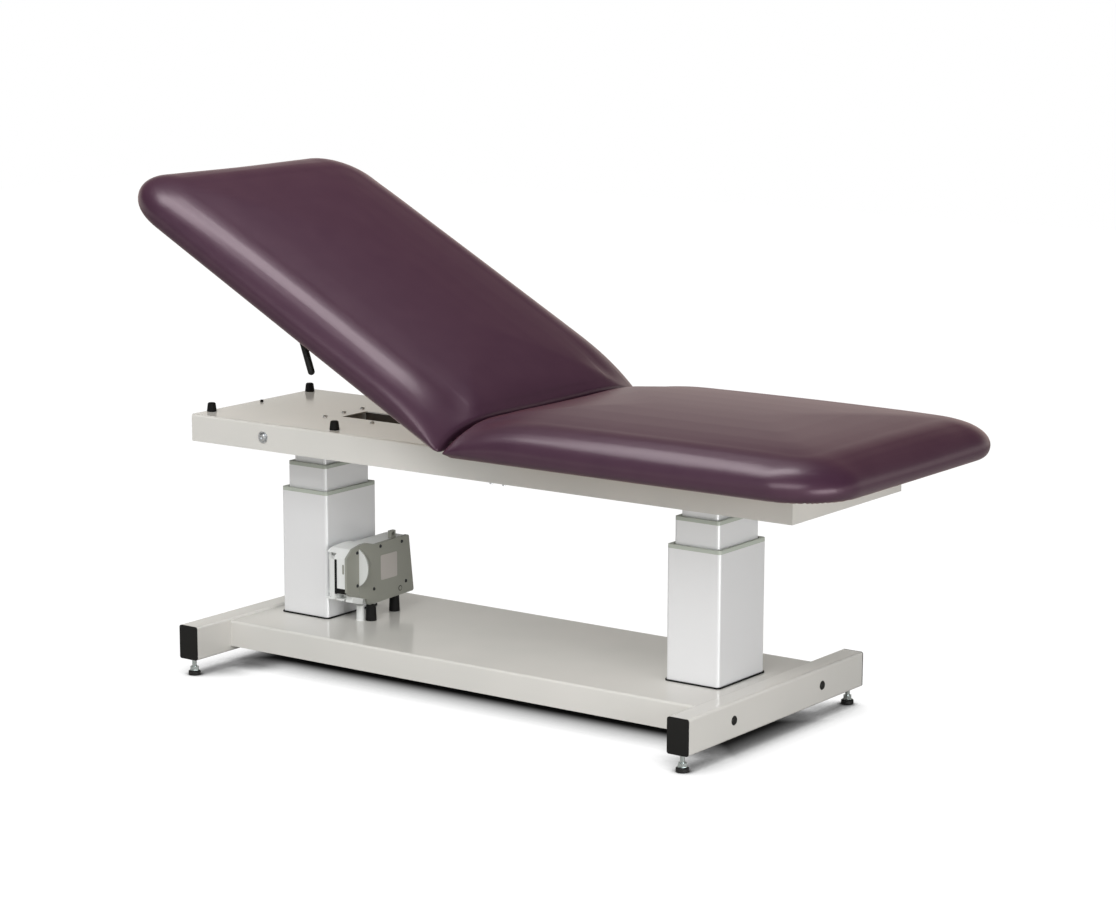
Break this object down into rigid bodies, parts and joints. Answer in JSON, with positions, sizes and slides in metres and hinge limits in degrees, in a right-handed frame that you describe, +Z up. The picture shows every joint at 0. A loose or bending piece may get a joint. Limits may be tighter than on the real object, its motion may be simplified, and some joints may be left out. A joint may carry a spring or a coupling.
{
  "type": "ultrasound table",
  "caption": "Power ultrasound table: padded seat and tilting backrest on a tray, raised by telescopic columns on an H-shaped base with levelling feet.",
  "frame": {"origin": "on the floor, under the middle of the table's whole length and width at rest", "axes": "+X towards the foot end, +Y towards the far side, +Z up"},
  "size_m": [1.8059, 0.762, 1.1026],
  "materials": {
    "base_steel": "light grey gloss powder coat",
    "column_alloy": "satin silver anodised extrusion",
    "collar_plastic": "light green-grey moulded",
    "black_plastic": "black moulded",
    "black_rubber": "black moulded",
    "zinc_steel": "zinc plated",
    "black_steel": "black oxide",
    "unit_housing": "light grey moulded",
    "unit_cover": "warm grey moulded",
    "circuit": "green laminate",
    "plywood": "birch plywood",
    "upholstery": "aubergine vinyl-coated fabric, satin"
  },
  "bodies": {
    "base": {"base_pan": "base_steel", "cross_tube_head": "base_steel", "cross_tube_foot": "base_steel", "tube_end_caps": "black_plastic", "tube_plugs": "black_plastic", "foot_bushes": "zinc_steel", "column_profile_head": "column_alloy", "column_profile_foot": "column_alloy", "column_collars": "collar_plastic", "column_glides": "black_plastic", "column_gaskets": "black_rubber", "lift_tubes": "zinc_steel", "column_bolts": "zinc_steel", "control_bracket": "unit_housing", "control_housing": "unit_housing", "control_cover": "unit_cover", "control_screws": "black_steel", "control_board": "circuit", "transformer_core": "zinc_steel", "control_socket": "unit_cover", "cable_boots": "black_rubber", "cable_clip": "unit_housing"},
    "middle_stage_head": {"middle_profile_head": "column_alloy", "middle_collar_head": "collar_plastic", "middle_glide_head": "black_plastic", "lift_sleeve_head": "zinc_steel"},
    "middle_stage_foot": {"middle_profile_foot": "column_alloy", "middle_collar_foot": "collar_plastic", "middle_glide_foot": "black_plastic", "lift_sleeve_foot": "zinc_steel"},
    "top_frame": {"inner_profile_head": "column_alloy", "inner_profile_foot": "column_alloy", "lift_rams": "zinc_steel", "lift_motors": "black_steel", "top_channels": "base_steel", "top_tray": "base_steel", "channel_bolts": "zinc_steel", "tray_bumpers": "black_rubber", "strut_trough": "base_steel", "strut_pivot_bolts": "zinc_steel", "tray_screws": "black_steel", "seat_rails": "base_steel", "seat_board": "plywood", "seat_cushion": "upholstery", "hinge_leaf_seat": "zinc_steel", "hinge_pin": "zinc_steel"},
    "backrest": {"backrest_board": "plywood", "backrest_cushion": "upholstery", "hinge_leaf_backrest": "zinc_steel", "strut_bracket": "zinc_steel", "lever_clips": "zinc_steel"},
    "strut_rod": {"strut_rod": "zinc_steel"},
    "strut_cylinder": {"strut_cylinder": "black_steel"},
    "release_lever": {"release_rod": "zinc_steel", "lever_grip": "black_plastic"},
    "levelling_foot_1": {"level_foot_1": "black_rubber"},
    "levelling_foot_2": {"level_foot_2": "black_rubber"},
    "levelling_foot_3": {"level_foot_3": "black_rubber"},
    "levelling_foot_4": {"level_foot_4": "black_rubber"}
  },
  "joints": [
    {"name": "table_lift", "type": "slide", "parent": "base", "child": "top_frame", "axis": [0, 0, 1], "range_m": [-0.09, 0.215]},
    {"name": "middle_lift_head", "type": "slide", "parent": "base", "child": "middle_stage_head", "axis": [0, 0, 1], "range_m": [-0.0451, 0.1076]},
    {"name": "middle_lift_foot", "type": "slide", "parent": "base", "child": "middle_stage_foot", "axis": [0, 0, 1], "range_m": [-0.0451, 0.1076]},
    {"name": "backrest_tilt", "type": "hinge", "parent": "top_frame", "child": "backrest", "pos_m": [-0.01014, 0, 0.5952], "axis": [0, 1, 0], "range_deg": [-28.4, 46.6]},
    {"name": "strut_pivot", "type": "hinge", "parent": "backrest", "child": "strut_rod", "pos_m": [-0.40361, 0, 0.77157], "axis": [0, 1, 0], "range_deg": [-4.85, 7.9]},
    {"name": "strut_stroke", "type": "slide", "parent": "strut_rod", "child": "strut_cylinder", "axis": [0.7853, 0, -0.6191], "range_m": [-0.0512, 0.0839]},
    {"name": "release_lever_pull", "type": "hinge", "parent": "backrest", "child": "release_lever", "pos_m": [-0.41989, 0, 0.79402], "axis": [0, 1, 0], "range_deg": [-18, 0], "stiffness_Nm_per_rad": 1.5, "springref_deg": 14.32},
    {"name": "foot_1_turn", "type": "hinge", "parent": "base", "child": "levelling_foot_1", "pos_m": [-0.74524, -0.323, 0], "axis": [0, 0, 1], "range_deg": [-360, 360]},
    {"name": "foot_2_turn", "type": "hinge", "parent": "base", "child": "levelling_foot_2", "pos_m": [0.55496, -0.323, 0], "axis": [0, 0, 1], "range_deg": [-360, 360]},
    {"name": "foot_3_turn", "type": "hinge", "parent": "base", "child": "levelling_foot_3", "pos_m": [0.55496, 0.323, 0], "axis": [0, 0, 1], "range_deg": [-360, 360]},
    {"name": "foot_4_turn", "type": "hinge", "parent": "base", "child": "levelling_foot_4", "pos_m": [-0.74524, 0.323, 0], "axis": [0, 0, 1], "range_deg": [-360, 360]}
  ],
  "couplings": [
    {"joint": "middle_lift_head", "follows": "table_lift", "ratio": 0.5},
    {"joint": "middle_lift_foot", "follows": "table_lift", "ratio": 0.5},
    {"joint": "strut_pivot", "follows": "backrest_tilt", "ratio": 0.169},
    {"joint": "strut_stroke", "follows": "backrest_tilt", "m_per_rad": 0.103}
  ]
}
